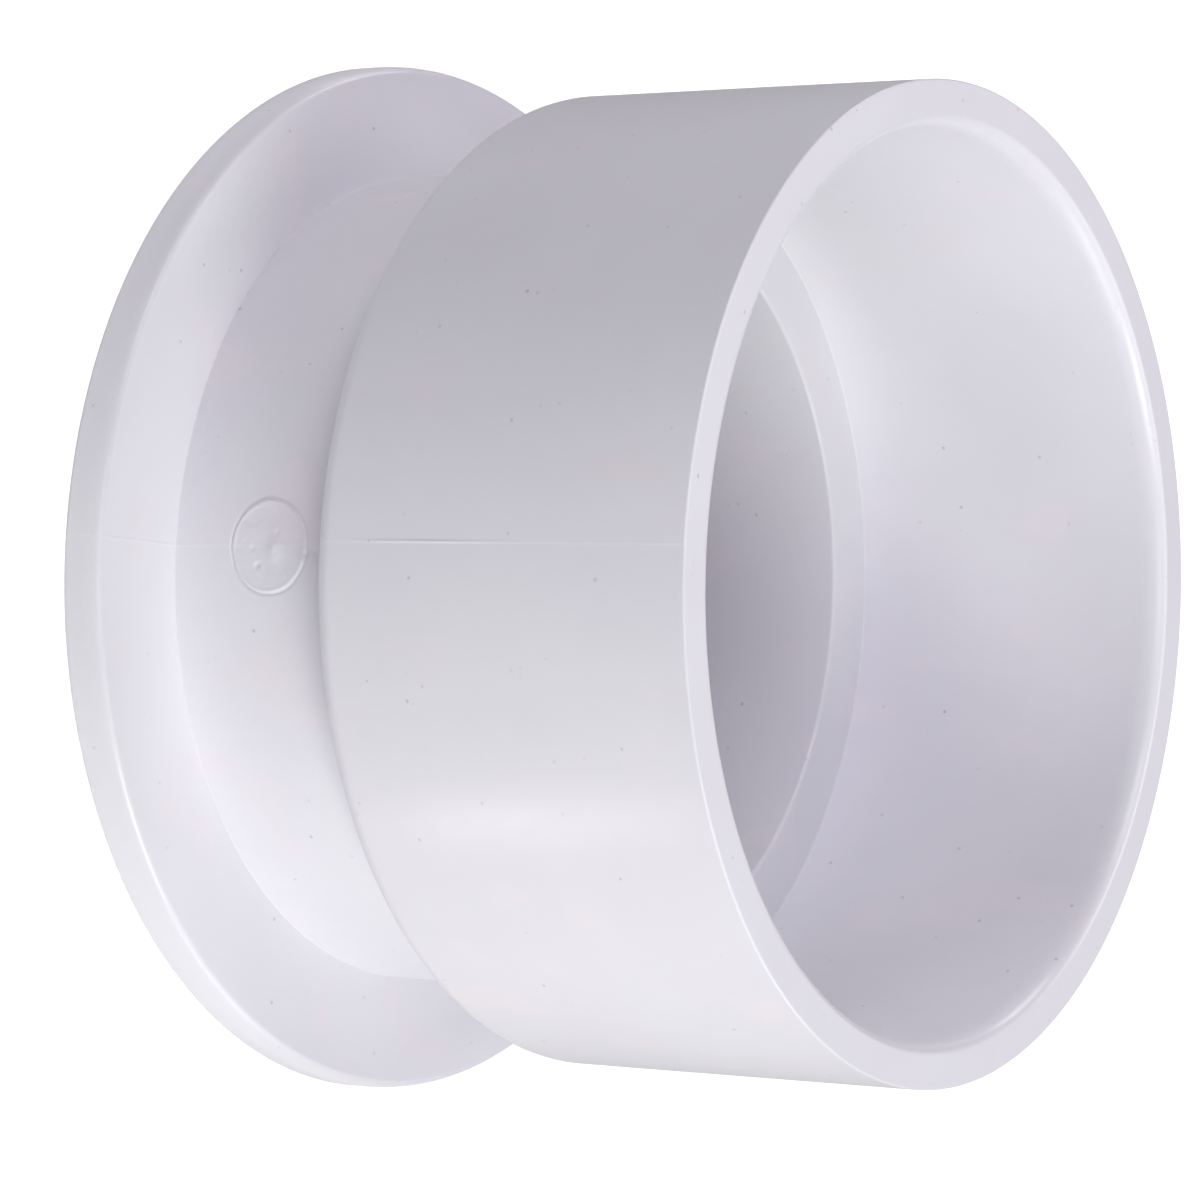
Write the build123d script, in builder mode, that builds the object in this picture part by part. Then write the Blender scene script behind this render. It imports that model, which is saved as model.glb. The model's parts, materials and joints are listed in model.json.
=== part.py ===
from build123d import *
import os

# Tailpiece (end connector) of a 2-inch pipe union, and the O-ring in its sealing face.
# A pipe is cemented into the socket, and a union nut slid on over the socket pulls the flange
# against the other half of the union.
#
# Frame: the axis is +Z and points out of the socket's mouth. Z = 0 is the sealing face.
# All sizes are in millimetres.

# Pipe socket
pipe_d = 60.3  # outside diameter of 2-inch pipe
pipe_gap = 0.05  # radial gap between the pipe and the socket wall
socket_depth = 24.8  # from the mouth down to the pipe stop
lead_in_width = 0.8  # the mouth's lead-in is a quarter of an ellipse, along the radius
lead_in_depth = 1.6  # and along the axis

# Lengths along the axis
total_length = 46.0
barrel_length = 28.0  # outside of the socket
flange_t = 2.9

# Walls
wall = 3.1  # of the socket, at its mouth
neck_wall = 2.8
draft_r = 0.25  # the barrel grows by this much from its mouth to its shoulder
flow_r = 25.8
neck_r = flow_r + neck_wall
flange_r = 36.5

# Edge roundings
flange_front_width = 0.6  # the flange's front edge is a quarter of an ellipse, along the radius
flange_front_depth = 1.6  # and along the axis
flange_back_round = 0.3
shoulder_round = 1.4
mouth_round = 0.15
stop_round = 0.25
neck_fillet = 2.0  # the concave corner under the barrel's shoulder

# Face seal: an O-ring of 56.87 x 1.78 mm in a rectangular groove
ring_inner_d = 56.87
ring_section = 1.78
groove_inner_r = 27.8
groove_outer_r = 30.25
groove_depth = 1.3

# Gate: the flat round spot where the plastic entered the mould, on the neck's -Y side
gate_r = 3.05
gate_z = 10.7
gate_proud = 0.1

# Worked-out places
socket_r = pipe_d / 2 + pipe_gap
mouth_outer_r = socket_r + wall
shoulder_outer_r = mouth_outer_r + draft_r
stop_z = total_length - socket_depth
shoulder_z = total_length - barrel_length
lead_in_z = total_length - lead_in_depth
flange_edge_z = flange_t - flange_front_depth
ring_r = (ring_inner_d + ring_section) / 2
ring_z = groove_depth - ring_section / 2


def rims(part, radius, height):
    """The circular edges of a turned part at one radius and one height."""
    circles = part.edges().filter_by(GeomType.CIRCLE)
    at_height = circles.filter_by_position(Axis.Z, height - 0.01, height + 0.01)
    return at_height.filter_by(lambda edge: abs(edge.radius - radius) < 0.01)


# The moulded fitting: one wall section turned about the axis
with BuildPart() as tailpiece_body:
    with BuildSketch(Plane.XZ):
        with BuildLine():
            Polyline(
                (socket_r, lead_in_z),
                (socket_r, stop_z),
                (flow_r, stop_z),
                (flow_r, 0),
                (flange_r, 0),
                (flange_r, flange_edge_z),
            )
            EllipticalCenterArc(
                (flange_r - flange_front_width, flange_edge_z),
                x_radius=flange_front_width,
                y_radius=flange_front_depth,
                start_angle=0,
                arc_size=90,
            )
            Polyline(
                (flange_r - flange_front_width, flange_t),
                (neck_r, flange_t),
                (neck_r, shoulder_z),
                (shoulder_outer_r, shoulder_z),
                (mouth_outer_r, total_length),
                (socket_r + lead_in_width, total_length),
            )
            EllipticalCenterArc(
                (socket_r + lead_in_width, lead_in_z),
                x_radius=lead_in_width,
                y_radius=lead_in_depth,
                start_angle=90,
                arc_size=90,
            )
        make_face()
    revolve(axis=Axis.Z)

    fillet(rims(tailpiece_body, neck_r, shoulder_z), neck_fillet)
    fillet(rims(tailpiece_body, shoulder_outer_r, shoulder_z), shoulder_round)
    fillet(rims(tailpiece_body, mouth_outer_r, total_length), mouth_round)
    fillet(rims(tailpiece_body, flow_r, stop_z), stop_round)
    fillet(rims(tailpiece_body, flange_r, 0), flange_back_round)

    # Groove for the O-ring, sunk into the sealing face
    with BuildSketch():
        Circle(groove_outer_r)
        Circle(groove_inner_r, mode=Mode.SUBTRACT)
    extrude(amount=groove_depth, mode=Mode.SUBTRACT)

    # Gate spot: a disc that starts inside the neck's wall and ends just proud of it
    gate_root = (0, neck_wall / 2 - neck_r, gate_z)
    gate_plane = Plane(origin=gate_root, x_dir=(1, 0, 0), z_dir=(0, -1, 0))
    with BuildSketch(gate_plane):
        Circle(gate_r)
    extrude(amount=neck_wall / 2 + gate_proud)

tailpiece_body.part.label = "tailpiece_body"

# The O-ring, lying on the floor of its groove and standing proud of the sealing face
with BuildPart() as face_o_ring:
    with BuildSketch(Plane.XZ):
        with Locations((ring_r, ring_z)):
            Circle(ring_section / 2)
    revolve(axis=Axis.Z)

face_o_ring.part.label = "face_o_ring"

os.makedirs("parts", exist_ok=True)
export_step(tailpiece_body.part, "parts/tailpiece_body.step")
export_step(face_o_ring.part, "parts/face_o_ring.step")
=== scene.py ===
import json
import math

import bpy
import numpy as np
from mathutils import Matrix, Vector, noise


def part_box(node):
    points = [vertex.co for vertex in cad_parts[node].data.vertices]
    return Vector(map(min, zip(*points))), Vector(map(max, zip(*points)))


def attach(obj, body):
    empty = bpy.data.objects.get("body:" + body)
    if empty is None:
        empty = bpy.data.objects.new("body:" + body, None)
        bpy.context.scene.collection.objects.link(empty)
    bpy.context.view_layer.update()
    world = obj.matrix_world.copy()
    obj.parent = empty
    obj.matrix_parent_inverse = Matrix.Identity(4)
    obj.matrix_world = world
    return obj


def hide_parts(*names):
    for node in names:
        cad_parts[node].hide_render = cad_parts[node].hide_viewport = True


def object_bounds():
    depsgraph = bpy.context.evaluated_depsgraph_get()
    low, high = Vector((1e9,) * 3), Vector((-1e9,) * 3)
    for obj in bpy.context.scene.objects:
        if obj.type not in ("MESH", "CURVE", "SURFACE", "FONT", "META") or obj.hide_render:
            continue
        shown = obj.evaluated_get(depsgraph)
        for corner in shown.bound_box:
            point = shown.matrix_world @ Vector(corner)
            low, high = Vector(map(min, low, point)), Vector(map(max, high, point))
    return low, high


# Looks of a white plastic union tailpiece and the O-ring in its sealing face.
# The axis is +Z and leaves the socket's mouth. The mould's parting plane is the YZ plane, and the
# gate spot is on the neck's -Y side. Sizes are in millimetres until a mesh is made.

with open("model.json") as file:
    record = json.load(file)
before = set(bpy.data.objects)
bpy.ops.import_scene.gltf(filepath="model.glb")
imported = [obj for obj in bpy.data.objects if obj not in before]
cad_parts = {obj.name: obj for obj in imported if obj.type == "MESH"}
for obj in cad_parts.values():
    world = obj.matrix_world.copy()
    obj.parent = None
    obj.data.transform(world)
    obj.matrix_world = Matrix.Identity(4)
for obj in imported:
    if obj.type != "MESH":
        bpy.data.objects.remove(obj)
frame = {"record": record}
cad_low, cad_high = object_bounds()

MM = 0.001
body_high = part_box("tailpiece_body")[1] / MM
ring_low, ring_high = (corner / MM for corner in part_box("face_o_ring"))
mounts = {mount["name"]: mount for mount in frame["record"]["mounts"]}

# Driving dimensions, from the frame
length = body_high.z
flange_r = body_high.x
flange_t = mounts["nut_seat"]["pos_m"][2] / MM
socket_r = mounts["pipe_socket"]["dims"]["r_mm"]
wall_top_z = mounts["pipe_socket"]["pos_m"][2] / MM + mounts["pipe_socket"]["dims"]["length_mm"] / 2
stop_z = wall_top_z - mounts["pipe_socket"]["dims"]["length_mm"]

# The rest of the wall section, as in the CAD part
wall = 3.1
mouth_r = socket_r + wall
shoulder_r = mouth_r + 0.25
shoulder_z = 18.0
flow_r = 25.8
neck_r = flow_r + 2.8
lead_in_width = 0.8
lead_in_depth = length - wall_top_z
flange_front_width = 0.6
flange_front_depth = 1.6
groove_inner_r = 27.8
groove_outer_r = 30.25
groove_depth = 1.3

# Gate spot on the neck
gate_r = 3.05
gate_z = 10.7

# O-ring
ring_section = ring_high.z - ring_low.z
ring_r = ring_high.x - ring_section / 2
ring_z = (ring_low.z + ring_high.z) / 2


# ---------------------------------------------------------------- outlines and turned meshes


def rounded(corner, before, after, radius):
    """Points of the arc that rounds an outline's corner and is tangent to both of its sides."""
    if radius == 0:
        return [corner]
    to_before = (before - corner).normalized()
    to_after = (after - corner).normalized()
    half_angle = to_before.angle(to_after) / 2
    reach = radius / math.tan(half_angle)
    centre = corner + (to_before + to_after).normalized() * radius / math.sin(half_angle)
    start = corner + to_before * reach - centre
    end = corner + to_after * reach - centre
    sweep = math.pi - 2 * half_angle
    steps = max(3, math.ceil(math.degrees(sweep) / 4))
    points = []
    for step in range(steps + 1):
        share = step / steps
        swung = start * math.sin((1 - share) * sweep) + end * math.sin(share * sweep)
        points.append(centre + swung / math.sin(sweep))
    return points


def divided(start, end, longest, edge=0.05):
    """Points strictly between two outline points: one close to each end, to keep the flat flat."""
    run = (end - start).length
    if run < 4 * edge:
        return []
    steps = max(1, math.ceil((run - 2 * edge) / longest))
    places = [edge + (run - 2 * edge) * step / steps for step in range(steps + 1)]
    return [start.lerp(end, place / run) for place in places]


def outline(corners, longest):
    """A closed outline in (radius, height) from (radius, height, rounding) corners."""
    places = [Vector(corner[:2]) for corner in corners]
    arcs = []
    for index, place in enumerate(places):
        after = places[(index + 1) % len(places)]
        arcs.append(rounded(place, places[index - 1], after, corners[index][2]))
    points = []
    for arc, following in zip(arcs, arcs[1:] + arcs[:1]):
        points += arc + divided(arc[-1], following[0], longest)
    return np.array([tuple(point) for point in points])


def with_rows(points, low, high, step, radius):
    """Adds closely spaced rows to the straight run of an outline at one radius."""
    run = (np.abs(points[:, 0] - radius) < 1e-4) & (points[:, 1] > low) & (points[:, 1] < high)
    start = int(np.flatnonzero(run)[0])
    kept = np.concatenate([points[:start], points[start:][~run[start:]]])
    rising = points[start - 1, 1] < points[start, 1]
    heights = np.arange(low, high + step / 2, step)
    heights = heights if rising else heights[::-1]
    rows = np.column_stack([np.full(len(heights), radius), heights])
    return np.insert(kept, start, rows, axis=0)


def turned_mesh(name, points, turns, displace=None):
    """Turns a closed outline about Z. turns are angles from -Y towards +X, in radians."""
    before, after = np.roll(points, 1, axis=0), np.roll(points, -1, axis=0)
    along = after - before
    normals = np.column_stack([along[:, 1], -along[:, 0]])
    normals /= np.linalg.norm(normals, axis=1)[:, None]
    radius, turn = np.meshgrid(points[:, 0], turns, indexing="ij")
    height = np.meshgrid(points[:, 1], turns, indexing="ij")[0]
    x = radius * np.sin(turn)
    y = -radius * np.cos(turn)
    if displace:
        out, slip = displace(radius, height, turn, normals)
        out_r, out_z = out * normals[:, :1], out * normals[:, 1:]
        x += out_r * np.sin(turn)
        y += slip - out_r * np.cos(turn)
        height = height + out_z
    places = np.stack([x, y, height], axis=-1).reshape(-1, 3) * MM
    rows, columns = radius.shape
    row, column = np.meshgrid(np.arange(rows), np.arange(columns), indexing="ij")
    next_row, next_column = (row + 1) % rows, (column + 1) % columns
    faces = np.stack(
        [
            row * columns + column,
            row * columns + next_column,
            next_row * columns + next_column,
            next_row * columns + column,
        ],
        axis=-1,
    ).reshape(-1, 4)
    mesh = bpy.data.meshes.new(name)
    mesh.from_pydata(places.tolist(), [], faces.tolist())
    mesh.shade_smooth()
    mesh.validate()
    piece = bpy.data.objects.new(name, mesh)
    bpy.context.scene.collection.objects.link(piece)
    return piece


def smooth_step(value, low, high):
    share = np.clip((value - low) / (high - low), 0, 1)
    return share * share * (3 - 2 * share)


def bump_at(value, place, width):
    return np.exp(-(((value - place) / width) ** 2))


def noise_over(points, scale, seed):
    """Smooth noise from -1 to 1 at points of shape (..., 3), with features about scale in size."""
    flat = points.reshape(-1, 3) / scale + seed
    values = [noise.noise(Vector(place)) for place in flat]
    return np.array(values).reshape(points.shape[:-1])


# ---------------------------------------------------------------- the moulded body


def flange_front():
    """The flange's front edge, a quarter of an ellipse from the rim to the face."""
    points = []
    for step in range(15):
        turn = math.pi / 2 * step / 14
        radius = flange_r - flange_front_width * (1 - math.cos(turn))
        height = flange_t - flange_front_depth * (1 - math.sin(turn))
        points.append((radius, height, 0))
    return points


def lead_in():
    """The mouth's inner edge, a quarter of an ellipse from the lip to the socket's wall."""
    points = []
    for step in range(15):
        turn = math.pi / 2 * step / 14
        radius = socket_r + lead_in_width * (1 - math.sin(turn))
        height = length - lead_in_depth * (1 - math.cos(turn))
        points.append((radius, height, 0))
    return points


body_outline = outline(
    [
        (flow_r, 0, 0.15),
        (groove_inner_r, 0, 0.1),
        (groove_inner_r, groove_depth, 0.2),
        (groove_outer_r, groove_depth, 0.2),
        (groove_outer_r, 0, 0.1),
        (flange_r, 0, 0.3),
        *flange_front(),
        (neck_r, flange_t, 0),
        (neck_r, shoulder_z, 2.0),
        (shoulder_r, shoulder_z, 1.4),
        (mouth_r, length, 0.15),
        *lead_in(),
        (socket_r, stop_z, 0.1),
        (flow_r, stop_z, 0.25),
    ],
    longest=0.9,
)
body_outline = with_rows(
    body_outline, gate_z - gate_r - 0.4, gate_z + gate_r + 1.7, 0.07, neck_r
)

even_turns = np.radians(np.arange(-180, 180, 1.2))
gate_turns = np.radians(np.arange(-6.86, 6.87, 0.14))
line_offsets = np.radians([0.05, 0.1, 0.16, 0.24, 0.34, 0.48])
line_turns = np.concatenate([-line_offsets, [0], line_offsets])
body_turns = np.concatenate(
    [
        even_turns[np.abs(even_turns) > math.radians(7)],
        gate_turns[np.abs(gate_turns) > math.radians(0.6)],
        line_turns,
        math.pi - line_offsets,
        line_offsets - math.pi,
    ]
)
body_turns = np.unique(np.round(body_turns, 6))

FLASH = 0.05  # height of the bead that the mould's joint leaves
FLASH_STARTS = (21.0, 25.0)  # heights between which the barrel's strong bead grows
FLASH_ENDS = (33.0, 30.0)  # and between which it fades again
MISMATCH = 0.015  # the mould's halves don't quite line up
WAVE = 0.02  # slow unevenness of the moulded walls
# Pits in and beside the gate spot: place across and along, depth (less than 0 is a bump), reach
GATE_PITS = [
    (1.3, -0.9, 0.13, 0.2),
    (0.2, -1.3, 0.05, 0.16),
    (-0.9, 0.7, 0.05, 0.18),
    (0.5, 3.05, 0.12, 0.2),
    (0.9, 2.85, -0.08, 0.2),
    (-0.5, 2.5, 0.05, 0.15),
    (0.35, 3.8, 0.09, 0.22),
    (0.5, 4.25, 0.13, 0.3),
]


def moulded(radius, height, turn, normals):
    """How far the moulded surface stands out from the true shape, and its slip along Y."""
    x = radius * np.sin(turn)
    y = -radius * np.cos(turn)
    places = np.stack([x, y, height], axis=-1)
    coarse = places[:, ::4]
    columns = np.arange(places.shape[1])
    waves = noise_over(coarse, 14.0, 3.7)
    wave = np.array([np.interp(columns, columns[::4], row) for row in waves]) * WAVE

    neck_side = (radius > neck_r - 0.06) & (height > flange_t - 0.1) & (height < shoulder_z + 2)
    outside = (radius > mouth_r - 0.06) | neck_side
    outside &= (height > 0.2) & (height < length - 0.04)
    seam = places.copy()
    seam[..., :2] = np.sign(np.cos(turn))[..., None] * 40.0
    strength = np.array([0.85 + 0.9 * noise.noise(Vector(p)) for p in seam[:, 0] / 3.1])
    strong = smooth_step(height, *FLASH_STARTS) * smooth_step(height, *FLASH_ENDS)
    strong += 0.9 * bump_at(height, flange_t + 0.3, 0.3) + 0.8 * bump_at(height, 45.2, 0.3)
    faint = np.where((radius < neck_r + 0.1) | (height < flange_t + 0.1), 0.06, 0.22)
    flash = FLASH * (faint + strong) * np.clip(strength, 0.1, 1.4)[:, None]
    bead = flash * bump_at(x, 0.0, 0.08)
    slip = MISMATCH * smooth_step(x, -0.12, 0.12) * outside

    out = wave + bead * outside
    on_neck = (np.abs(radius - neck_r) < 1e-4) & (np.abs(turn) < math.radians(8))
    spot = gate_spot(places, radius, turn)
    near = smooth_step(np.hypot(turn * neck_r, height - gate_z), 3.9, 3.3)
    return np.where(on_neck, out * (1 - near) + spot, out), slip


def gate_spot(places, radius, turn):
    """The flat round spot where the gate was: proud of the neck, ringed, with a torn-off stub."""
    across = radius * turn
    along = places[..., 2] - gate_z
    from_centre = np.hypot(across, along)
    ragged = from_centre.copy()
    near = from_centre < gate_r + 0.6
    ragged[near] += 0.05 * noise_over(places[near], 0.8, 2.9)
    inside = smooth_step(ragged, gate_r + 0.04, gate_r - 0.06)
    flat = 0.03 + 0.01 * along + 0.55 * (neck_r / np.cos(turn) - radius)
    ditch = -0.09 * bump_at(ragged, gate_r + 0.1, 0.09)
    lip = 0.05 * bump_at(ragged, gate_r - 0.16, 0.1) * (0.7 - 0.3 * along / gate_r)
    rough = np.zeros(near.shape)
    rough[near] = 0.045 * noise_over(places[near], 1.3, 8.1)
    rough[near] += 0.02 * noise_over(places[near], 0.45, 5.3)
    stub = 0.22 * np.exp(-((across - 0.3) ** 2 / 0.6 + (along - 0.55) ** 2 / 0.3))
    pits = 0.0
    for pit_across, pit_along, depth, reach in GATE_PITS:
        span = (across - pit_across) ** 2 + (along - pit_along) ** 2
        pits = pits - depth * np.exp(-span / reach**2)
    return inside * (flat + rough + stub + lip) + ditch + pits


body = turned_mesh("tailpiece_body_moulding", body_outline, body_turns, moulded)
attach(body, "root")
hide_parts("tailpiece_body")


# ---------------------------------------------------------------- the O-ring

RING_FLASH = 0.03  # the thin fin that the O-ring's own mould leaves at its inside and outside


def ring_outline():
    points = []
    for step in range(48):
        turn = 2 * math.pi * step / 48
        fin = RING_FLASH * math.exp(-((math.sin(turn) / 0.12) ** 2))
        reach = ring_section / 2 + fin
        points.append((ring_r + reach * math.cos(turn), ring_z + reach * math.sin(turn)))
    return np.array(points)


ring_turns = np.radians(np.arange(-180, 180, 1.0))
ring = turned_mesh("face_o_ring_rubber", ring_outline(), ring_turns)
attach(ring, "root")
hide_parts("face_o_ring")


# ---------------------------------------------------------------- materials

BACKDROP_GLOW = 1.0  # the white that the camera sees of the floor, on top of the lights


class Nodes:
    """A short way to write a material's nodes."""

    def __init__(self, name):
        self.material = bpy.data.materials.new(name)
        self.material.use_nodes = True
        self.tree = self.material.node_tree
        self.shader = self.tree.nodes["Principled BSDF"]
        self.place = self.add("ShaderNodeTexCoord").outputs["Object"]

    def add(self, kind, settings=None, **inputs):
        made = self.tree.nodes.new(kind)
        for key, value in (settings or {}).items():
            setattr(made, key, value)
        for key, value in inputs.items():
            self.feed(made.inputs[key.replace("_", " ")], value)
        return made

    def feed(self, socket, value):
        if isinstance(value, bpy.types.NodeSocket):
            self.tree.links.new(value, socket)
        else:
            socket.default_value = value

    def noise(self, size_mm, detail=2.0, roughness=0.5, stretch=(1, 1, 1), seed=0.0):
        mapped = self.add("ShaderNodeMapping", Vector=self.place, Location=(seed, seed, seed))
        mapped.inputs["Scale"].default_value = stretch
        made = self.add("ShaderNodeTexNoise", Vector=mapped.outputs[0])
        made.inputs["Scale"].default_value = 1 / (size_mm * MM)
        made.inputs["Detail"].default_value = detail
        made.inputs["Roughness"].default_value = roughness
        return made.outputs["Fac"]

    def ramp(self, fac, low, high, dark=0.0, light=1.0):
        made = self.add("ShaderNodeMapRange", {"interpolation_type": "SMOOTHSTEP"}, Value=fac)
        made.inputs["From Min"].default_value = low
        made.inputs["From Max"].default_value = high
        made.inputs["To Min"].default_value = dark
        made.inputs["To Max"].default_value = light
        return made.outputs[0]

    def mix(self, fac, first, second):
        made = self.add("ShaderNodeMix", {"data_type": "RGBA"})
        self.feed(made.inputs[0], fac)
        self.feed(made.inputs[6], first)
        self.feed(made.inputs[7], second)
        return made.outputs[2]

    def maths(self, operation, first, second=0.0):
        made = self.add("ShaderNodeMath", {"operation": operation})
        self.feed(made.inputs[0], first)
        self.feed(made.inputs[1], second)
        return made.outputs[0]

    def bump(self, height, depth_mm, before=None):
        made = self.add("ShaderNodeBump", Height=height, Strength=1.0, Distance=depth_mm * MM)
        if before:
            self.tree.links.new(before, made.inputs["Normal"])
        return made.outputs[0]

    def specks(self, spacing_mm, size_mm, share, seed):
        """1 inside small scattered specks and 0 elsewhere."""
        mapped = self.add("ShaderNodeMapping", Vector=self.place, Location=(seed, seed, seed))
        cells = self.add("ShaderNodeTexVoronoi", Vector=mapped.outputs[0])
        cells.inputs["Scale"].default_value = 1 / (spacing_mm * MM)
        chosen = self.maths("LESS_THAN", cells.outputs["Color"], share)
        reach = size_mm / spacing_mm / 2
        near = self.ramp(cells.outputs["Distance"], reach * 0.5, reach, 1.0, 0.0)
        return self.maths("MULTIPLY", chosen, near)


def pvc_material():
    """White moulded PVC: satin gloss, faint orange peel, hairline scuffs and a few dark specks."""
    nodes = Nodes("white_pvc_moulded")
    tone = nodes.ramp(nodes.noise(11.0, detail=3.0), 0.3, 0.7)
    base = nodes.mix(tone, (0.865, 0.853, 0.903, 1), (0.885, 0.875, 0.918, 1))
    blush = nodes.ramp(nodes.noise(5.0, detail=3.0, stretch=(1, 1, 0.5), seed=0.7), 0.56, 0.68, 0.0, 0.7)
    base = nodes.mix(blush, base, (0.91, 0.862, 0.905, 1))
    dust = nodes.specks(1.5, 0.34, 0.4, 0.013)
    faintness = nodes.ramp(nodes.noise(2.0, seed=0.4), 0.35, 0.68, 0.06, 0.5)
    base = nodes.mix(nodes.maths("MULTIPLY", dust, faintness), base, (0.42, 0.38, 0.40, 1))
    nodes.feed(nodes.shader.inputs["Base Color"], base)
    rough = nodes.ramp(nodes.noise(1.6, detail=4.0, roughness=0.6, seed=0.2), 0.25, 0.75, 0.29, 0.34)
    nodes.feed(nodes.shader.inputs["Roughness"], rough)
    nodes.shader.inputs["IOR"].default_value = 1.5
    peel = nodes.noise(1.1, detail=3.0, roughness=0.55, seed=0.1)
    scuffs = nodes.noise(0.5, detail=4.0, roughness=0.7, stretch=(1, 1, 0.08), seed=0.6)
    pits = nodes.specks(1.7, 0.3, 0.4, 0.031)
    normal = nodes.bump(peel, 0.005)
    normal = nodes.bump(scuffs, 0.0012, normal)
    normal = nodes.bump(pits, 0.02, normal)
    nodes.feed(nodes.shader.inputs["Normal"], normal)
    return nodes.material


def rubber_material():
    """Black moulded rubber: dull, with a faint bloom and mould texture."""
    nodes = Nodes("black_rubber_moulded")
    bloom = nodes.ramp(nodes.noise(3.0, detail=4.0), 0.35, 0.75)
    base = nodes.mix(bloom, (0.022, 0.022, 0.024, 1), (0.045, 0.045, 0.047, 1))
    nodes.feed(nodes.shader.inputs["Base Color"], base)
    rough = nodes.ramp(nodes.noise(1.2, detail=3.0, seed=0.3), 0.3, 0.7, 0.48, 0.62)
    nodes.feed(nodes.shader.inputs["Roughness"], rough)
    nodes.feed(nodes.shader.inputs["Normal"], nodes.bump(nodes.noise(0.25, detail=3.0), 0.008))
    return nodes.material


def floor_material():
    """A glossy pale board, overexposed to plain white where the camera sees it."""
    nodes = Nodes("studio_board")
    nodes.shader.inputs["Base Color"].default_value = (0.5, 0.5, 0.5, 1)
    nodes.shader.inputs["Roughness"].default_value = 0.12
    nodes.shader.inputs["Emission Color"].default_value = (1, 1, 1, 1)
    seen = nodes.add("ShaderNodeLightPath").outputs["Is Camera Ray"]
    glow = nodes.maths("MULTIPLY", seen, BACKDROP_GLOW)
    nodes.feed(nodes.shader.inputs["Emission Strength"], glow)
    nodes.material.cycles.emission_sampling = "NONE"
    return nodes.material


body.data.materials.append(pvc_material())
ring.data.materials.append(rubber_material())


# ---------------------------------------------------------------- floor, lights and camera

FLOOR_SIZE = 3.0  # metres


def studio_floor():
    half = FLOOR_SIZE / 2
    mesh = bpy.data.meshes.new("studio_floor")
    corners = [(-half, -half, 0), (half, -half, 0), (half, half, 0), (-half, half, 0)]
    mesh.from_pydata(corners, [], [(0, 1, 2, 3)])
    mesh.materials.append(floor_material())
    floor = bpy.data.objects.new("studio_floor", mesh)
    floor.location.z = cad_low.z
    bpy.context.scene.collection.objects.link(floor)


def table_glow(inner_r, outer_r, strength):
    """A bright ring of table beside the flange, which lights its rim and which no camera sees."""
    sides = 72
    places = []
    for radius in (inner_r, outer_r):
        for side in range(sides):
            turn = 2 * math.pi * side / sides
            places.append((radius * math.sin(turn) * MM, radius * math.cos(turn) * MM, 0))
    faces = [(side, (side + 1) % sides, sides + (side + 1) % sides, sides + side) for side in range(sides)]
    nodes = Nodes("table_glow")
    nodes.shader.inputs["Emission Color"].default_value = (1, 0.98, 1, 1)
    nodes.shader.inputs["Emission Strength"].default_value = strength
    mesh = bpy.data.meshes.new("table_glow")
    mesh.from_pydata(places, [], faces)
    mesh.materials.append(nodes.material)
    glow = bpy.data.objects.new("table_glow", mesh)
    glow.location.z = cad_low.z + 0.1 * MM
    glow.visible_camera = False
    bpy.context.scene.collection.objects.link(glow)


def direction(azimuth, elevation):
    """A unit vector; azimuth 0 is -Y and 90 is +X, both in degrees."""
    turn, rise = math.radians(azimuth), math.radians(elevation)
    level = math.cos(rise)
    return Vector((math.sin(turn) * level, -math.cos(turn) * level, math.sin(rise)))


def area_light(name, size, power, tint):
    """A rectangular light of size (width, height), which faces down until it is turned."""
    data = bpy.data.lights.new(name, "AREA")
    data.shape = "RECTANGLE"
    data.size, data.size_y = size
    data.energy = power
    data.color = tint
    light = bpy.data.objects.new(name, data)
    bpy.context.scene.collection.objects.link(light)
    return light


def soft_light(name, azimuth, elevation, distance, width, height, power, tint):
    """A softbox that faces the object's middle."""
    light = area_light(name, (width, height), power, tint)
    towards = direction(azimuth, elevation)
    light.location = (cad_low + cad_high) / 2 + towards * distance
    light.rotation_euler = towards.to_track_quat("Z", "Y").to_euler()


def table_glint(seen_at, azimuth, reach, run, width, power, tint):
    """The key light's gleam on the table, which the glossy barrel mirrors: a strip that faces up.

    seen_at is the azimuth of the place on the barrel that mirrors it, and the strip lies reach
    away from there, in the direction azimuth.
    """
    light = area_light("table_glint", (width, run), power, tint)
    light.location = direction(seen_at, 0) * shoulder_r * MM + direction(azimuth, 0) * reach
    light.location.z = cad_low.z + 0.5 * MM
    light.rotation_euler = (math.pi, 0, math.radians(azimuth))
    light.visible_camera = False


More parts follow.
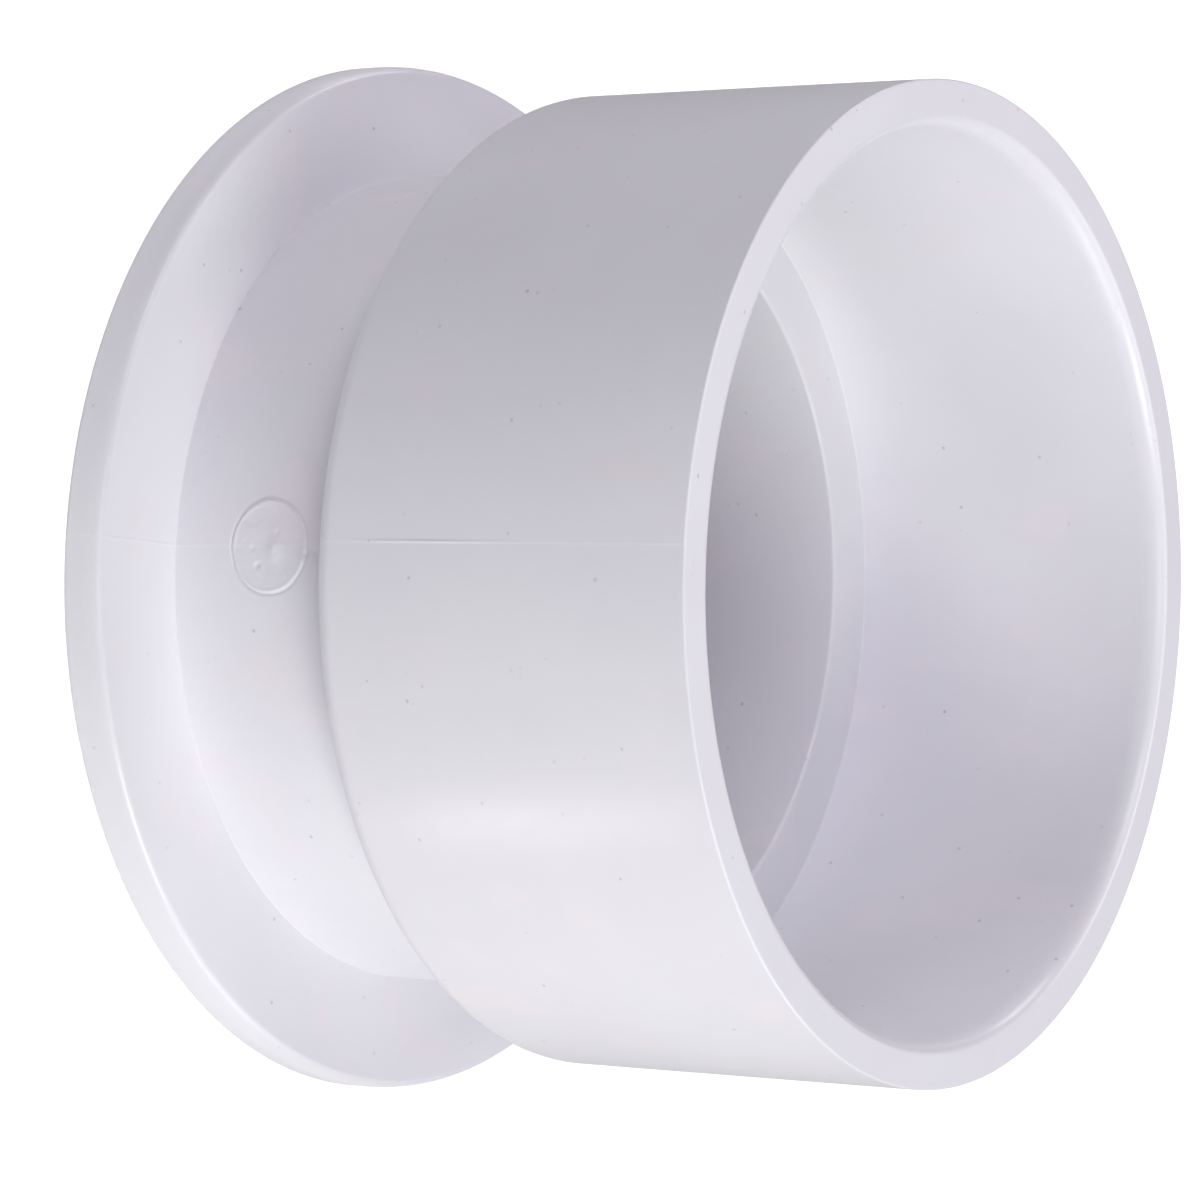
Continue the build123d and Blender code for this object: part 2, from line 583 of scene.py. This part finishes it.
def studio_world():
    """Plain white air that the camera sees and that lights nothing."""
    world = bpy.data.worlds.new("studio_air")
    world.use_nodes = True
    tree = world.node_tree
    background = tree.nodes["Background"]
    background.inputs["Color"].default_value = (1, 1, 1, 1)
    path = tree.nodes.new("ShaderNodeLightPath")
    tree.links.new(path.outputs["Is Camera Ray"], background.inputs["Strength"])
    world.cycles.sampling_method = "NONE"
    bpy.context.scene.world = world


def photo_camera(azimuth, elevation, roll, distance, aim, focal_length):
    """A camera turned on its side: the fitting's axis runs across the picture."""
    back = direction(azimuth, elevation)
    level = Vector((-back.y, back.x, 0)).normalized()
    upright = back.cross(level)
    tilt = math.radians(roll)
    right = level * math.cos(tilt) + upright * math.sin(tilt)
    up = upright * math.cos(tilt) - level * math.sin(tilt)
    data = bpy.data.cameras.new("camera")
    data.lens = focal_length
    data.sensor_width = 36.0
    camera = bpy.data.objects.new("camera", data)
    place = Vector(aim) + back * distance
    camera.matrix_world = Matrix.Translation(place) @ Matrix((right, up, back)).transposed().to_4x4()
    bpy.context.scene.collection.objects.link(camera)
    bpy.context.scene.camera = camera


studio_floor()
table_glow(flange_r + 0.4, flange_r + 4, 0.08)
soft_light("key", 60, 35, 0.9, 0.35, 0.35, 4.2, (0.97, 1.0, 0.91))
soft_light("front", 0, 35, 0.9, 0.5, 0.4, 1.88, (0.89, 0.84, 1.0))
soft_light("left", -56, 36, 0.9, 0.35, 0.35, 1.78, (0.98, 0.985, 1.0))
soft_light("low_right", 92, 12, 0.9, 0.5, 0.3, 2.1, (0.91, 0.90, 1.0))
soft_light("low_left", -120, 12, 0.9, 0.35, 0.25, 1.6, (1.0, 0.96, 0.99))
soft_light("back_left", -150, 60, 0.9, 0.35, 0.35, 1.75, (0.985, 0.93, 1.0))
soft_light("back_right", 150, 60, 0.9, 0.35, 0.35, 1.1, (0.86, 0.81, 1.0))
soft_light("overhead", 0, 75, 0.9, 0.8, 0.8, 0.35, (0.95, 1.0, 0.98))
table_glint(32, 60, 52 * MM, 30 * MM, 3 * MM, 0.005, (1.0, 0.85, 0.88))
studio_world()
photo_camera(3.57, 33.95, 90.95, 299.6 * MM, (1.376 * MM, 0.086 * MM, 17.58 * MM), 128.8)
bpy.context.scene.view_settings.view_transform = "Standard"
